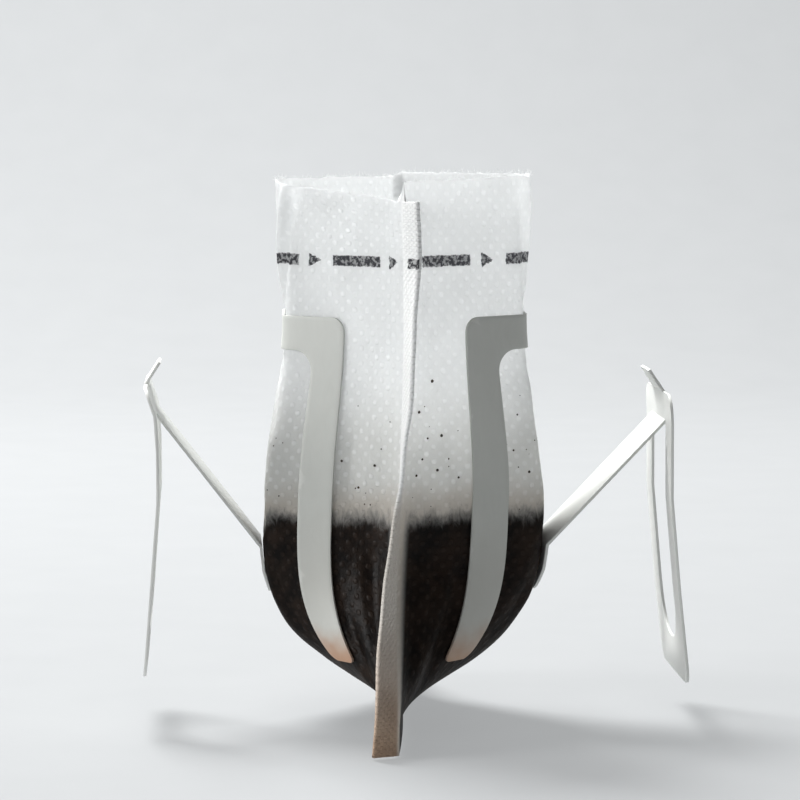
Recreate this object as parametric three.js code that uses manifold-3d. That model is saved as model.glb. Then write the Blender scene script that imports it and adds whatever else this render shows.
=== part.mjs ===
// Drip coffee bag, torn open and hung on a cup by its two card ears.
// Millimetres, +Z up. X runs from ear to ear and Y along the depth, with the near side seam at -Y.
// The origin is midway between the ears, level with the top of the rim that they hang on.

import * as THREE from 'three';
import { mergeVertices } from 'three/addons/utils/BufferGeometryUtils.js';
import Module from 'manifold-3d';

const wasm = await Module();
wasm.setup();

// Filter pouch

const pouchFlatWidth = 74;
const pouchHeight = 88;
const pouchTop = 43;
const seamWidth = 4;
const bottomSealHeight = 4.5;
const clothThickness = 0.4;
const mouthHalfWidth = 20.5;
const waistHalfWidth = 19;
const waistHeight = 21;
const bellyHalfWidth = 22.4;
const bellyHeight = -8;
const bellyFullness = 3.5;
const flatMiddle = 6;
const cornerEnd = 11;
const seamPinch = 0.4;
const seamPinchWidth = 9;
const mouthBow = 18;
const nearSeamLean = -3.5;
const tearDip = 3;
const tearTilt = 0.7;
const tearBand = 12;
const finThickness = 0.72;
const nearFinTurn = { top: 10, foot: -70 };
const farFinTurn = { top: -14, foot: 30 };
const finTurnPower = 2.4;
const sealShoulder = 0.6;
const cavitySeamInset = 1.2;

// Card frames and ears

const cardThickness = 0.45;
const glueGap = 0.38;
const cutGap = 0.3;
const frameTop = 21.5;
const frameBottom = -33;
const frameBarHeight = 5.5;
const frameLegWidth = 6;
const frameOuterRadius = 2.4;
const frameInnerRadius = 3.6;
const frameFootRadius = 1.2;

const earWidth = 28;
const earShoulder = 4.5;
const earHingeHeight = 5;
const earBottomBar = 6.3;
const earCornerRadius = 3.3;
const earFlat = 8;
const leftEar = { reach: 40.3, topSplay: 1.9, footSplay: 2.3, lift: 0.8 };
const rightEar = { reach: 41.8, topSplay: -0.3, footSplay: 3, lift: -0.8 };
const tabHeight = 3.4;
const tabWidth = 9;
const tabFold = 2.2;
const tabSlant = 1.2;
const hingeSplayShare = 0.2;
const footBendShare = 0.45;
const windowTopRadius = 0.5;
const strapHingeRadius = 0.1;

const strapWidth = 15;
const strapEndRadius = 6.5;
const strapGlueTop = -16;
const strapGlueLength = 8;

// Coffee grounds

const groundsTop = -12;
const groundsCrater = 4;
const groundsFoot = 2;
const craterRings = [0.85, 0.6, 0.3];
const groundsClearance = 0.4;
const groundsSeamClearance = 4;

// Values that follow

const pouchBottom = pouchTop - pouchHeight;
const sealTop = pouchBottom + bottomSealHeight;
const faceHalf = pouchFlatWidth / 2 - seamWidth;
const seamHalf = clothThickness / 2;
const frameHalfWidth = earWidth / 2 + cutGap + frameLegWidth;
const RIGHT = 1;
const LEFT = -1;

// Shape of the opened pouch

const ease = (share) => (1 - Math.cos(Math.PI * THREE.MathUtils.clamp(share, 0, 1))) / 2;

// Half the opening across X at a height: a sealed strip, a round belly, a waist and the mouth.
function halfOpening(height) {
  if (height <= sealTop) return seamHalf;
  if (height < bellyHeight) {
    const rise = (height - sealTop) / (bellyHeight - sealTop);
    return seamHalf + (bellyHalfWidth - seamHalf) * (1 - (1 - rise) ** bellyFullness);
  }
  if (height < waistHeight) {
    const share = ease((height - bellyHeight) / (waistHeight - bellyHeight));
    return bellyHalfWidth + (waistHalfWidth - bellyHalfWidth) * share;
  }
  const share = ease((height - waistHeight) / (pouchTop - waistHeight));
  return waistHalfWidth + (mouthHalfWidth - waistHalfWidth) * share;
}

const ARC_STEPS = 66;

// Walks along one face from its middle to a side seam at one height. The middle stays nearly flat,
// a soft corner follows, the rest runs on at the angle that closes the pouch, and the seam pinches it.
function faceWalk(height) {
  const step = faceHalf / ARC_STEPS;
  const bowShare = ease((height - waistHeight) / (pouchTop - waistHeight));
  const bow = THREE.MathUtils.degToRad(mouthBow) * bowShare;
  const slopeAt = (arc, angle) => {
    const corner = THREE.MathUtils.smoothstep(arc, flatMiddle, cornerEnd);
    const pinch = seamPinch * THREE.MathUtils.smoothstep(arc, faceHalf - seamPinchWidth, faceHalf);
    const middle = Math.min(bow, angle) * Math.min(arc / flatMiddle, 1);
    return middle * (1 - corner) + angle * corner * (1 - pinch);
  };
  const walk = (angle) => {
    const points = [{ across: 0, along: 0 }];
    for (let i = 0; i < ARC_STEPS; i++) {
      const slope = slopeAt((i + 0.5) * step, angle);
      const last = points[i];
      points.push({
        across: last.across + Math.sin(slope) * step,
        along: last.along + Math.cos(slope) * step,
      });
    }
    return points;
  };
  const target = halfOpening(height) - seamHalf;
  let low = 0;
  let high = Math.PI / 2;
  const halvings = 30;
  for (let i = 0; i < halvings; i++) {
    const angle = (low + high) / 2;
    if (walk(angle)[ARC_STEPS].across < target) low = angle;
    else high = angle;
  }
  return walk((low + high) / 2);
}

const walks = new Map();

function walkAt(height) {
  const key = height.toFixed(4);
  if (!walks.has(key)) walks.set(key, faceWalk(height));
  return walks.get(key);
}

// The near seam wanders sideways on its way down, and the faces follow it.
function seamLean(arc, height) {
  const depthShare = (1 + arc / faceHalf) / 2;
  const dropShare = ease((pouchTop - height) / pouchHeight);
  return nearSeamLean * dropShare * depthShare ** 2;
}

// A point on the middle of the cloth. arc runs from the far seam (negative) to the near seam.
function clothPoint(side, arc, height) {
  const points = walkAt(height);
  const place = Math.min(Math.abs(arc) / faceHalf, 1) * ARC_STEPS;
  const index = Math.min(Math.floor(place), ARC_STEPS - 1);
  const share = place - index;
  const across = THREE.MathUtils.lerp(points[index].across, points[index + 1].across, share);
  const along = THREE.MathUtils.lerp(points[index].along, points[index + 1].along, share);
  const x = side * (halfOpening(height) - across) + seamLean(arc, height);
  return new THREE.Vector3(x, -Math.sign(arc) * along, height);
}

// The same point moved out along the face's normal, or in where the distance is negative.
function offsetPoint(side, arc, height, distance) {
  const reach = 0.25;
  const point = clothPoint(side, arc, height);
  const inner = Math.max(arc - reach, -faceHalf);
  const outer = Math.min(arc + reach, faceHalf);
  const alongArc = clothPoint(side, outer, height).sub(clothPoint(side, inner, height));
  const alongRise = clothPoint(side, arc, height + reach).sub(clothPoint(side, arc, height - reach));
  const normal = alongRise.cross(alongArc).normalize().multiplyScalar(side);
  return point.addScaledVector(normal, distance);
}

// Closed solids and cuts

// Joins rings of equal count in a row and closes both ends with the given faces.
function loft(rings, endFaces) {
  const count = rings[0].length;
  const positions = rings.flat().flatMap((point) => [point.x, point.y, point.z]);
  const faces = [];
  for (let level = 0; level + 1 < rings.length; level++) {
    for (let i = 0; i < count; i++) {
      const a = level * count + i;
      const b = level * count + (i + 1) % count;
      faces.push(a, b, b + count, a, b + count, a + count);
    }
  }
  const last = (rings.length - 1) * count;
  for (const [a, b, c] of endFaces(rings[0])) faces.push(c, b, a);
  for (const [a, b, c] of endFaces(rings.at(-1))) faces.push(last + a, last + b, last + c);
  const geometry = new THREE.BufferGeometry();
  geometry.setAttribute('position', new THREE.Float32BufferAttribute(positions, 3));
  geometry.setIndex(faces);
  return geometry;
}

const squareEnd = () => [[0, 1, 2], [0, 2, 3]];

function levelEnd(ring) {
  const outline = ring.map((point) => new THREE.Vector2(point.x, point.y));
  return THREE.ShapeUtils.triangulateShape(outline, []);
}

function merged(geometry) {
  const copy = geometry.clone();
  copy.deleteAttribute('normal');
  copy.deleteAttribute('uv');
  return mergeVertices(copy, 1e-5);
}

function toSolid(geometry) {
  const clean = merged(geometry);
  const vertProperties = new Float32Array(clean.attributes.position.array);
  const triVerts = new Uint32Array(clean.index.array);
  return new wasm.Manifold(new wasm.Mesh({ numProp: 3, vertProperties, triVerts }));
}

function toGeometry(solid) {
  const mesh = solid.getMesh();
  const geometry = new THREE.BufferGeometry();
  geometry.setAttribute('position', new THREE.BufferAttribute(mesh.vertProperties, 3));
  geometry.setIndex(new THREE.BufferAttribute(mesh.triVerts, 1));
  return geometry;
}

// A rectangle with its own radius at the top and the foot corners, as a shape or a hole.
function roundedOutline(path, halfWidth, low, high, topRadius, footRadius) {
  path.moveTo(-halfWidth + footRadius, low);
  path.lineTo(halfWidth - footRadius, low);
  path.absarc(halfWidth - footRadius, low + footRadius, footRadius, -Math.PI / 2, 0);
  path.lineTo(halfWidth, high - topRadius);
  path.absarc(halfWidth - topRadius, high - topRadius, topRadius, 0, Math.PI / 2);
  path.lineTo(-halfWidth + topRadius, high);
  path.absarc(-halfWidth + topRadius, high - topRadius, topRadius, Math.PI / 2, Math.PI);
  path.lineTo(-halfWidth, low + footRadius);
  path.absarc(-halfWidth + footRadius, low + footRadius, footRadius, Math.PI, Math.PI * 1.5);
  return path;
}

// Filter pouch

function spread(from, to, steps) {
  return Array.from({ length: steps }, (_, i) => from + (to - from) * i / steps);
}

const BELLY_STEPS = 9;
const WAIST_STEPS = 8;
const MOUTH_STEPS = 6;

function pouchLevels() {
  return [
    pouchBottom,
    sealTop,
    ...spread(sealTop + sealShoulder, bellyHeight, BELLY_STEPS),
    ...spread(bellyHeight, waistHeight, WAIST_STEPS),
    ...spread(waistHeight, pouchTop, MOUTH_STEPS),
    pouchTop,
  ];
}

const FACE_STEPS = 22;

function faceArcs(limit) {
  return Array.from({ length: FACE_STEPS + 1 }, (_, i) => limit * (1 - 2 * i / FACE_STEPS));
}

// The torn edge dips towards the near seam on the left face and stays nearly level on the right.
function tornHeight(side, arc, height) {
  const share = THREE.MathUtils.clamp((height - pouchTop + tearBand) / tearBand, 0, 1);
  const nearShare = Math.max(arc / faceHalf, 0);
  const dip = side === LEFT ? tearDip * nearShare : -tearTilt * (1 - nearShare);
  return -dip * share;
}

// How far a side seam's fin has turned sideways from straight out, mostly near its foot.
function finTurn(height, near) {
  const turn = near ? nearFinTurn : farFinTurn;
  const share = ((pouchTop - height) / pouchHeight) ** finTurnPower;
  return THREE.MathUtils.degToRad(turn.top + (turn.foot - turn.top) * share);
}

// The two sealed layers of a side seam stand out from the pouch as one flat fin.
function finTip(height, near) {
  const end = near ? faceHalf : -faceHalf;
  const toward = near ? -1 : 1;
  const root = clothPoint(RIGHT, end, height).add(clothPoint(LEFT, end, height)).multiplyScalar(0.5);
  const turn = finTurn(height, near);
  const across = Math.sin(turn);
  const along = toward * Math.cos(turn);
  const drop = near ? tearDip * ease((height - pouchTop + tearBand) / tearBand) / 2 : 0;
  const tip = root.clone().add(new THREE.Vector3(across * seamWidth, along * seamWidth, -drop));
  const half = finThickness / 2;
  const beside = new THREE.Vector3(Math.cos(turn) * half, -toward * Math.sin(turn) * half, 0);
  return { right: tip.clone().add(beside), left: tip.clone().sub(beside) };
}

function pouchOuterRing(height) {
  const arcs = faceArcs(faceHalf);
  const place = (side, arc) => {
    const point = offsetPoint(side, arc, height, seamHalf);
    point.z += tornHeight(side, arc, height);
    return point;
  };
  const far = finTip(height, false);
  const near = finTip(height, true);
  return [
    ...arcs.map((arc) => place(RIGHT, arc)),
    far.right,
    far.left,
    ...arcs.map((arc) => place(LEFT, -arc)),
    near.left,
    near.right,
  ];
}

function cavityRing(height, inset, seamInset) {
  const arcs = faceArcs(faceHalf - seamInset);
  return [
    ...arcs.map((arc) => offsetPoint(RIGHT, arc, height, -inset)),
    ...arcs.map((arc) => offsetPoint(LEFT, -arc, height, -inset)),
  ];
}

function filterPouch() {
  const levels = pouchLevels();
  const outer = loft(levels.map((height) => pouchOuterRing(height)), levelEnd);
  const inside = levels.filter((height) => height > sealTop);
  const rings = inside.map((height) => cavityRing(height, seamHalf, cavitySeamInset));
  const above = rings.at(-1).map((point) => point.clone().setZ(point.z + tearBand));
  const cavity = loft([...rings, above], levelEnd);
  return toGeometry(toSolid(outer).subtract(toSolid(cavity)));
}

// Coffee grounds

function coffeeGrounds() {
  const inset = seamHalf + groundsClearance;
  const low = sealTop + groundsFoot;
  const heights = [...spread(low, groundsTop, BELLY_STEPS), groundsTop];
  const rings = heights.map((height) => cavityRing(height, inset, groundsSeamClearance));
  const rim = rings.at(-1);
  const centre = rim.reduce((sum, point) => sum.add(point), new THREE.Vector3()).divideScalar(rim.length);
  for (const share of craterRings) {
    const depth = groundsCrater * (1 - share ** 2);
    rings.push(rim.map((point) => {
      const inner = centre.clone().lerp(point, share);
      return inner.setZ(groundsTop - depth);
    }));
  }
  return merged(loft(rings, levelEnd));
}

// Card frame: an inverted U glued on one face, bent round the face's soft corners.
// Each station pairs a point on its window edge with one on its outer edge, as arc and height.
function frameStations() {
  const windowHalf = earWidth / 2 + cutGap;
  const windowTop = frameTop - frameBarHeight;
  const cornerStart = windowTop - frameInnerRadius;
  const cornerArc = windowHalf - frameInnerRadius;
  const half = [];
  const footSteps = 3;
  for (let i = 0; i <= footSteps; i++) {
    const turn = Math.PI / 2 * i / footSteps;
    const inset = frameFootRadius * (1 - Math.sin(turn));
    const height = frameBottom + frameFootRadius * (1 - Math.cos(turn));
    half.push([windowHalf + inset, height, frameHalfWidth - inset, height]);
  }
  const legSteps = 22;
  const legStart = frameBottom + frameFootRadius;
  for (let i = 1; i <= legSteps; i++) {
    const height = THREE.MathUtils.lerp(legStart, cornerStart, i / legSteps);
    half.push([windowHalf, height, frameHalfWidth, height]);
  }
  const outerCorner = new THREE.Path();
  const roundArc = frameHalfWidth - frameOuterRadius;
  const roundHeight = frameTop - frameOuterRadius;
  outerCorner.moveTo(frameHalfWidth, cornerStart);
  outerCorner.lineTo(frameHalfWidth, roundHeight);
  outerCorner.absarc(roundArc, roundHeight, frameOuterRadius, 0, Math.PI / 2);
  outerCorner.lineTo(cornerArc, frameTop);
  const cornerSteps = 4;
  outerCorner.curves.forEach((curve, stretch) => {
    for (let i = 1; i <= cornerSteps; i++) {
      const turn = Math.PI / 2 * (stretch + i / cornerSteps) / outerCorner.curves.length;
      const outer = curve.getPoint(i / cornerSteps);
      const innerArc = cornerArc + frameInnerRadius * Math.cos(turn);
      const innerHeight = cornerStart + frameInnerRadius * Math.sin(turn);
      half.push([innerArc, innerHeight, outer.x, outer.y]);
    }
  });
  const barSteps = 12;
  const bar = spread(cornerArc, -cornerArc, barSteps).slice(1).map((arc) => [arc, windowTop, arc, frameTop]);
  const mirrored = half.map(([a, b, c, d]) => [-a, b, -c, d]).reverse();
  return [...half, ...bar, ...mirrored];
}

function cardFrame(side) {
  const back = seamHalf + glueGap;
  const front = back + cardThickness;
  const stations = side === LEFT ? frameStations() : frameStations().reverse();
  const rings = stations.map(([innerArc, innerHeight, outerArc, outerHeight]) => [
    offsetPoint(side, innerArc, innerHeight, back),
    offsetPoint(side, innerArc, innerHeight, front),
    offsetPoint(side, outerArc, outerHeight, front),
    offsetPoint(side, outerArc, outerHeight, back),
  ]);
  return merged(loft(rings, squareEnd));
}

// Hanging ear

// A band of card seen edge on: the centre line's points, thickened to both sides.
function bandShape(points, thickness) {
  const half = thickness / 2;
  const normalAt = (from, to) => {
    const run = to.clone().sub(from).normalize();
    return new THREE.Vector2(-run.y, run.x);
  };
  const offset = (sign) => points.map((point, i) => {
    const before = normalAt(points[Math.max(i - 1, 0)], points[Math.max(i, 1)]);
    const last = points.length - 1;
    const after = normalAt(points[Math.min(i, last - 1)], points[Math.min(i + 1, last)]);
    const mitre = before.clone().add(after).normalize();
    return point.clone().addScaledVector(mitre, sign * half / mitre.dot(after));
  });
  return new THREE.Shape([...offset(1), ...offset(-1).reverse()]);
}

// A band seen edge on in the XZ plane, made the given width along Y.
function bandSolid(points, width) {
  const band = new THREE.ExtrudeGeometry(bandShape(points, cardThickness), {
    depth: width,
    bevelEnabled: false,
  });
  band.rotateX(Math.PI / 2);
  band.translate(0, width / 2, 0);
  return toSolid(band);
}

const CORNER_SEGMENTS = 6;

// An outline drawn in the YZ plane, as a block along X that reaches through one side of the bag.
function blankSolid(shape, side) {
  const length = Math.max(leftEar.reach, rightEar.reach) + earWidth;
  const block = new THREE.ExtrudeGeometry(shape, {
    depth: length,
    bevelEnabled: false,
    curveSegments: CORNER_SEGMENTS,
  });
  block.rotateY(Math.PI / 2);
  block.rotateX(Math.PI / 2);
  if (side === LEFT) block.translate(-length, 0, 0);
  return toSolid(block);
}

function hangingEar(side) {
  const ear = side === LEFT ? leftEar : rightEar;
  const hinge = earHingeHeight + ear.lift;
  const top = hinge + earShoulder;
  const bodyReach = ear.reach + ear.topSplay;
  const glueStart = faceSeat(side, strapGlueTop);
  const glueEnd = faceSeat(side, strapGlueTop - strapGlueLength);
  const hingePoint = new THREE.Vector2(side * (ear.reach + ear.topSplay * hingeSplayShare), hinge);
  const strapLength = glueStart.distanceTo(hingePoint) + glueStart.distanceTo(glueEnd);
  const windowLow = hinge - strapLength;
  const bottom = windowLow - earBottomBar;

  const bodyLine = [
    new THREE.Vector2(side * (bodyReach - tabFold), top + tabHeight),
    new THREE.Vector2(side * bodyReach, top),
    hingePoint,
    new THREE.Vector2(side * ear.reach, 0),
    new THREE.Vector2(side * ear.reach, -earFlat),
    new THREE.Vector2(side * (ear.reach + ear.footSplay * footBendShare), (bottom - earFlat) / 2),
    new THREE.Vector2(side * (ear.reach + ear.footSplay), bottom),
  ];
  const body = bandSolid(bodyLine, earWidth);

  const outline = roundedOutline(new THREE.Shape(), earWidth / 2, bottom, top, earCornerRadius, earCornerRadius);
  const tab = new THREE.Shape();
  const tabOverrun = top + tabHeight + cardThickness * 2;
  tab.moveTo(-tabWidth / 2 - tabSlant, top - cardThickness);
  tab.lineTo(tabWidth / 2 + tabSlant, top - cardThickness);
  tab.lineTo(tabWidth / 2, tabOverrun);
  tab.lineTo(-tabWidth / 2, tabOverrun);
  const blank = blankSolid(outline, side).add(blankSolid(tab, side));

  const windowHalf = strapWidth / 2 + cutGap;
  const windowRadius = strapEndRadius + cutGap;
  const windowTop = hinge - cardThickness;
  const hole = roundedOutline(
    new THREE.Shape(), windowHalf, windowLow - cutGap, windowTop, windowTopRadius, windowRadius,
  );
  const cutBody = body.intersect(blank).subtract(blankSolid(hole, side));

  const strapLine = [
    hingePoint,
    glueStart,
    faceSeat(side, strapGlueTop - strapGlueLength / 2),
    glueEnd,
  ];
  const strapHalf = strapWidth / 2;
  const strapOutline = roundedOutline(
    new THREE.Shape(), strapHalf, glueEnd.y, hinge + cardThickness, strapHingeRadius, strapEndRadius,
  );
  const strap = bandSolid(strapLine, strapWidth).intersect(blankSolid(strapOutline, side));
  return toGeometry(cutBody.add(strap));
}

// Where the strap's centre line lies when it is glued on the middle of a face.
function faceSeat(side, height) {
  const distance = seamHalf + glueGap + cardThickness / 2;
  const edge = strapWidth / 2;
  const seats = [-edge, 0, edge].map((arc) => offsetPoint(side, arc, height, distance));
  const reach = Math.max(...seats.map((seat) => side * seat.x));
  return new THREE.Vector2(side * reach, height);
}

// Assembly

const cloth = new THREE.MeshStandardMaterial({ color: 0xf1f1ee, roughness: 0.85, metalness: 0 });
const card = new THREE.MeshStandardMaterial({ color: 0xd9d9d3, roughness: 0.6, metalness: 0 });
const grounds = new THREE.MeshStandardMaterial({ color: 0x1d130d, roughness: 0.7, metalness: 0 });

function named(name, geometry, material) {
  const mesh = new THREE.Mesh(geometry, material);
  mesh.name = name;
  return mesh;
}

const group = new THREE.Group();
group.add(
  named('filter_pouch', filterPouch(), cloth),
  named('coffee_grounds', coffeeGrounds(), grounds),
  named('card_frame_left', cardFrame(LEFT), card),
  named('card_frame_right', cardFrame(RIGHT), card),
  named('hanging_ear_left', hangingEar(LEFT), card),
  named('hanging_ear_right', hangingEar(RIGHT), card),
);

export default group;
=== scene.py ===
import bpy
import bmesh
import math
import numpy as np
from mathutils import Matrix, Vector, noise


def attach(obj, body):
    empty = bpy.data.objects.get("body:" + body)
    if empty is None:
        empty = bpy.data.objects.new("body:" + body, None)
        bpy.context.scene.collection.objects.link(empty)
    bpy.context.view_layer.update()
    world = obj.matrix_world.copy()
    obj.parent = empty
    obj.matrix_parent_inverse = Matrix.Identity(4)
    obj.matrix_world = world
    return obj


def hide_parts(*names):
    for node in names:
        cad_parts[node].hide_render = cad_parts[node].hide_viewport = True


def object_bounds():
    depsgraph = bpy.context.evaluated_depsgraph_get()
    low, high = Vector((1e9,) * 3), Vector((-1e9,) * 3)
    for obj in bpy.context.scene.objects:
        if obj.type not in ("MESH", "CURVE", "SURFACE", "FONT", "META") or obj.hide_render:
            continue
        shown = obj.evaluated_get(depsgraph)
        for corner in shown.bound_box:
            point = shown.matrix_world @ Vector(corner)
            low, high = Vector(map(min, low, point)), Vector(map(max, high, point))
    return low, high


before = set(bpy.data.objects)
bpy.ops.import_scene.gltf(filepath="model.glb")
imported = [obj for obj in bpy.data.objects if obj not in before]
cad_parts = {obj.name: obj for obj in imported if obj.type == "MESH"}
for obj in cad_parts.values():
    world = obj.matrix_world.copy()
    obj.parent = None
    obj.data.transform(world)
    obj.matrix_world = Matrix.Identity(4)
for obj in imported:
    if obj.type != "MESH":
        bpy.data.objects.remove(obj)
cad_low, cad_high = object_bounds()

MM = 0.001
LEFT = -1
RIGHT = 1

# Filter pouch, in millimetres and degrees

POUCH_FLAT_WIDTH = 74
POUCH_HEIGHT = 88
POUCH_TOP = 43
SEAM_WIDTH = 4
BOTTOM_SEAL_HEIGHT = 4.5
SEAM_HALF = 0.2
INNER_SEAM_INSET = 1.2
MOUTH_HALF_WIDTH = 20.5
WAIST_HALF_WIDTH = 19
WAIST_HEIGHT = 21
BELLY_HALF_WIDTH = 22.4
BELLY_HEIGHT = -8
BELLY_FULLNESS = 3.5
FLAT_MIDDLE = 6
CORNER_END = 11
MOUTH_CREASE = 1.7
MOUTH_BOW = 18
SEAM_PINCH = 0.4
SEAM_PINCH_WIDTH = 9
NEAR_SEAM_LEAN = -3.5
SEAM_SHIFT = -2.2
SHIFT_START = -5
SHIFT_RISE = 45
NEAR_FIN_TURN = (38, -70)
FAR_FIN_TURN = (-14, 30)
NEAR_FIN_POWER = 1.47
FAR_FIN_POWER = 2.4
FIN_WAVE = 0.5
FIN_WAVE_SIZE = 9
FIN_WAVE_POWER = 1.5
FIN_HALF_THICKNESS = 0.3
CLOTH_HALF_THICKNESS = 0.15
TEAR_DIP = 3
TEAR_TILT = 0.7
TEAR_BAND = 12
TEAR_ROUGHNESS = 0.22
RAGGED_BAND = 2.5
RAGGED_SIZE = 2.1
FRAYED_SIZE = 0.7
FRAYED_SHARE = 0.6

POUCH_BOTTOM = POUCH_TOP - POUCH_HEIGHT
SEAL_TOP = POUCH_BOTTOM + BOTTOM_SEAL_HEIGHT
FACE_HALF = POUCH_FLAT_WIDTH / 2 - SEAM_WIDTH

# Card frames and ears, in millimetres

CARD_THICKNESS = 0.42
GLUE_GAP = 0.12
STRAP_BULGE = 0.22
CUT_GAP = 0.3
FRAME_TOP = 21.5
FRAME_BOTTOM = -33
FRAME_BAR_HEIGHT = 5.5
FRAME_LEG_WIDTH = 6
FRAME_OUTER_RADIUS = 2.4
FRAME_INNER_RADIUS = 3.6
FRAME_FOOT_RADIUS = 1.2
FRAME_EDGE_RADIUS = 0.1
EAR_EDGE_RADIUS = 0.08
EAR_WIDTH = 28
STRAP_HALF_WIDTH = 7.5
STRAP_GLUE_TOP = -16
STRAP_GLUE_LENGTH = 8
WINDOW_HALF = EAR_WIDTH / 2 + CUT_GAP
FRAME_HALF = WINDOW_HALF + FRAME_LEG_WIDTH

# Coffee grounds, in millimetres

GROUNDS_TOP = -12
GROUNDS_CRATER = 4
GROUNDS_INSET = 0.6
GROUNDS_SEAM_INSET = 4
GROUNDS_FOOT = 2
GROUNDS_LUMP = 0.9
GROUNDS_CRUMB = 0.45

# Camera and lights, in metres, degrees and watts

CAMERA_DISTANCE = 500 * MM
CAMERA_HEIGHT = 53 * MM
CAMERA_TURN = -3.5
AIM = Vector((-1.0 * MM, 0, 7.0 * MM))
VIEW_WIDTH = 130 * MM
LIGHT_SIZE = 0.4
LIGHTS = [
    ("key", (-1.0, -0.2, 0.27), (0, 0, 0), 7.8),
    ("back", (-0.25, 0.45, 0.8), (0, 0, 0.03), 19),
]
SKY_COLOUR = (0.8, 0.81, 0.82, 1)
SKY_STRENGTH = 0.25
SKY_STRENGTH_SEEN = 0.92


def make_camera():
    data = bpy.data.cameras.new("camera")
    camera = bpy.data.objects.new("camera", data)
    bpy.context.scene.collection.objects.link(camera)
    turn = math.radians(CAMERA_TURN)
    place = Vector((math.sin(turn), -math.cos(turn), 0)) * CAMERA_DISTANCE
    camera.location = place + Vector((AIM.x, AIM.y, CAMERA_HEIGHT))
    camera.rotation_euler = (AIM - camera.location).to_track_quat("-Z", "Y").to_euler()
    data.sensor_width = 36
    data.lens = data.sensor_width * CAMERA_DISTANCE / VIEW_WIDTH
    data.clip_start = 10 * MM
    bpy.context.scene.camera = camera


def make_light(name, location, target, power):
    data = bpy.data.lights.new(name, "AREA")
    data.shape = "RECTANGLE"
    data.size = LIGHT_SIZE
    data.size_y = LIGHT_SIZE
    data.energy = power
    light = bpy.data.objects.new(name, data)
    bpy.context.scene.collection.objects.link(light)
    light.location = location
    light.rotation_euler = (Vector(target) - Vector(location)).to_track_quat("-Z", "Y").to_euler()


def pale_world():
    """Soft light from all round, seen paler where nothing stands behind the object."""
    world = bpy.data.worlds.new("world")
    bpy.context.scene.world = world
    world.use_nodes = True
    tree = world.node_tree
    tree.nodes.clear()
    path = tree.nodes.new("ShaderNodeLightPath")
    shown = tree.nodes.new("ShaderNodeMixShader")
    output = tree.nodes.new("ShaderNodeOutputWorld")
    tree.links.new(path.outputs["Is Camera Ray"], shown.inputs[0])
    for socket, strength in ((1, SKY_STRENGTH), (2, SKY_STRENGTH_SEEN)):
        sky = tree.nodes.new("ShaderNodeBackground")
        sky.inputs["Color"].default_value = SKY_COLOUR
        sky.inputs["Strength"].default_value = strength
        tree.links.new(sky.outputs[0], shown.inputs[socket])
    tree.links.new(shown.outputs[0], output.inputs["Surface"])


# Shader maths

class Signal:
    """A value or colour that runs through a material and takes arithmetic."""

    def __init__(self, finish, socket):
        self.finish = finish
        self.socket = socket

    def maths(self, operation, *others):
        return self.finish.maths(operation, self, *others)

    def __add__(self, other):
        return self.maths("ADD", other)

    __radd__ = __add__

    def __sub__(self, other):
        return self.maths("SUBTRACT", other)

    def __rsub__(self, other):
        return self.finish.maths("SUBTRACT", other, self)

    def __mul__(self, other):
        return self.maths("MULTIPLY", other)

    __rmul__ = __mul__

    def __truediv__(self, other):
        return self.maths("DIVIDE", other)


class Finish:
    """A material built from nodes."""

    def __init__(self, name):
        self.material = bpy.data.materials.new(name)
        self.material.use_nodes = True
        self.tree = self.material.node_tree
        self.tree.nodes.clear()
        self.node_output = self.tree.nodes.new("ShaderNodeOutputMaterial")

    def node(self, kind, settings, sockets, output=0):
        made = self.tree.nodes.new(kind)
        for name, setting in settings.items():
            setattr(made, name, setting)
        for name, value in sockets.items():
            socket = made.inputs[name]
            if isinstance(value, Signal):
                self.tree.links.new(value.socket, socket)
            else:
                socket.default_value = value
        return Signal(self, made.outputs[output])

    def maths(self, operation, *values):
        sockets = dict(enumerate(values))
        return self.node("ShaderNodeMath", {"operation": operation}, sockets)

    def step(self, value, low, high):
        """Rises softly from nothing to one between two limits."""
        settings = {"interpolation_type": "SMOOTHSTEP"}
        sockets = {"Value": value, "From Min": low, "From Max": high}
        return self.node("ShaderNodeMapRange", settings, sockets)

    def mix(self, factor, first, second):
        sockets = {0: factor, 6: self.colour(first), 7: self.colour(second)}
        return self.node("ShaderNodeMix", {"data_type": "RGBA"}, sockets, 2)

    def colour(self, value):
        return value if isinstance(value, Signal) else (*value, 1)

    def noise(self, place, scale, detail=3, roughness=0.55, distortion=0):
        sockets = {
            "Vector": place,
            "Scale": scale,
            "Detail": detail,
            "Roughness": roughness,
            "Distortion": distortion,
        }
        return self.node("ShaderNodeTexNoise", {}, sockets)

    def object_place(self):
        return self.node("ShaderNodeTexCoord", {}, {}, "Object")

    def stretched(self, place, scale):
        return self.node("ShaderNodeMapping", {}, {"Vector": place, "Scale": scale})

    def parts_of(self, place):
        split = self.node("ShaderNodeSeparateXYZ", {}, {"Vector": place})
        outputs = split.socket.node.outputs
        return [Signal(self, output) for output in outputs]

    def own(self, name):
        """A value that each point of the piece holds under this name."""
        return self.node("ShaderNodeAttribute", {"attribute_name": name}, {}, "Fac")

    def bump(self, height, strength, distance):
        sockets = {"Height": height, "Strength": strength, "Distance": distance}
        return self.node("ShaderNodeBump", {}, sockets)

    def surface(self, translucency=0, glow=(1, 1, 1), **sockets):
        named = {name.replace("_", " "): value for name, value in sockets.items()}
        shader = self.node("ShaderNodeBsdfPrincipled", {}, named)
        if translucency:
            through = {"Color": self.colour(glow)}
            if isinstance(named.get("Normal"), Signal):
                through["Normal"] = named["Normal"]
            lit = self.node("ShaderNodeBsdfTranslucent", {}, through)
            shader = self.node("ShaderNodeMixShader", {}, {0: translucency, 1: shader, 2: lit})
        self.tree.links.new(shader.socket, self.node_output.inputs["Surface"])
        return self.material


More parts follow.
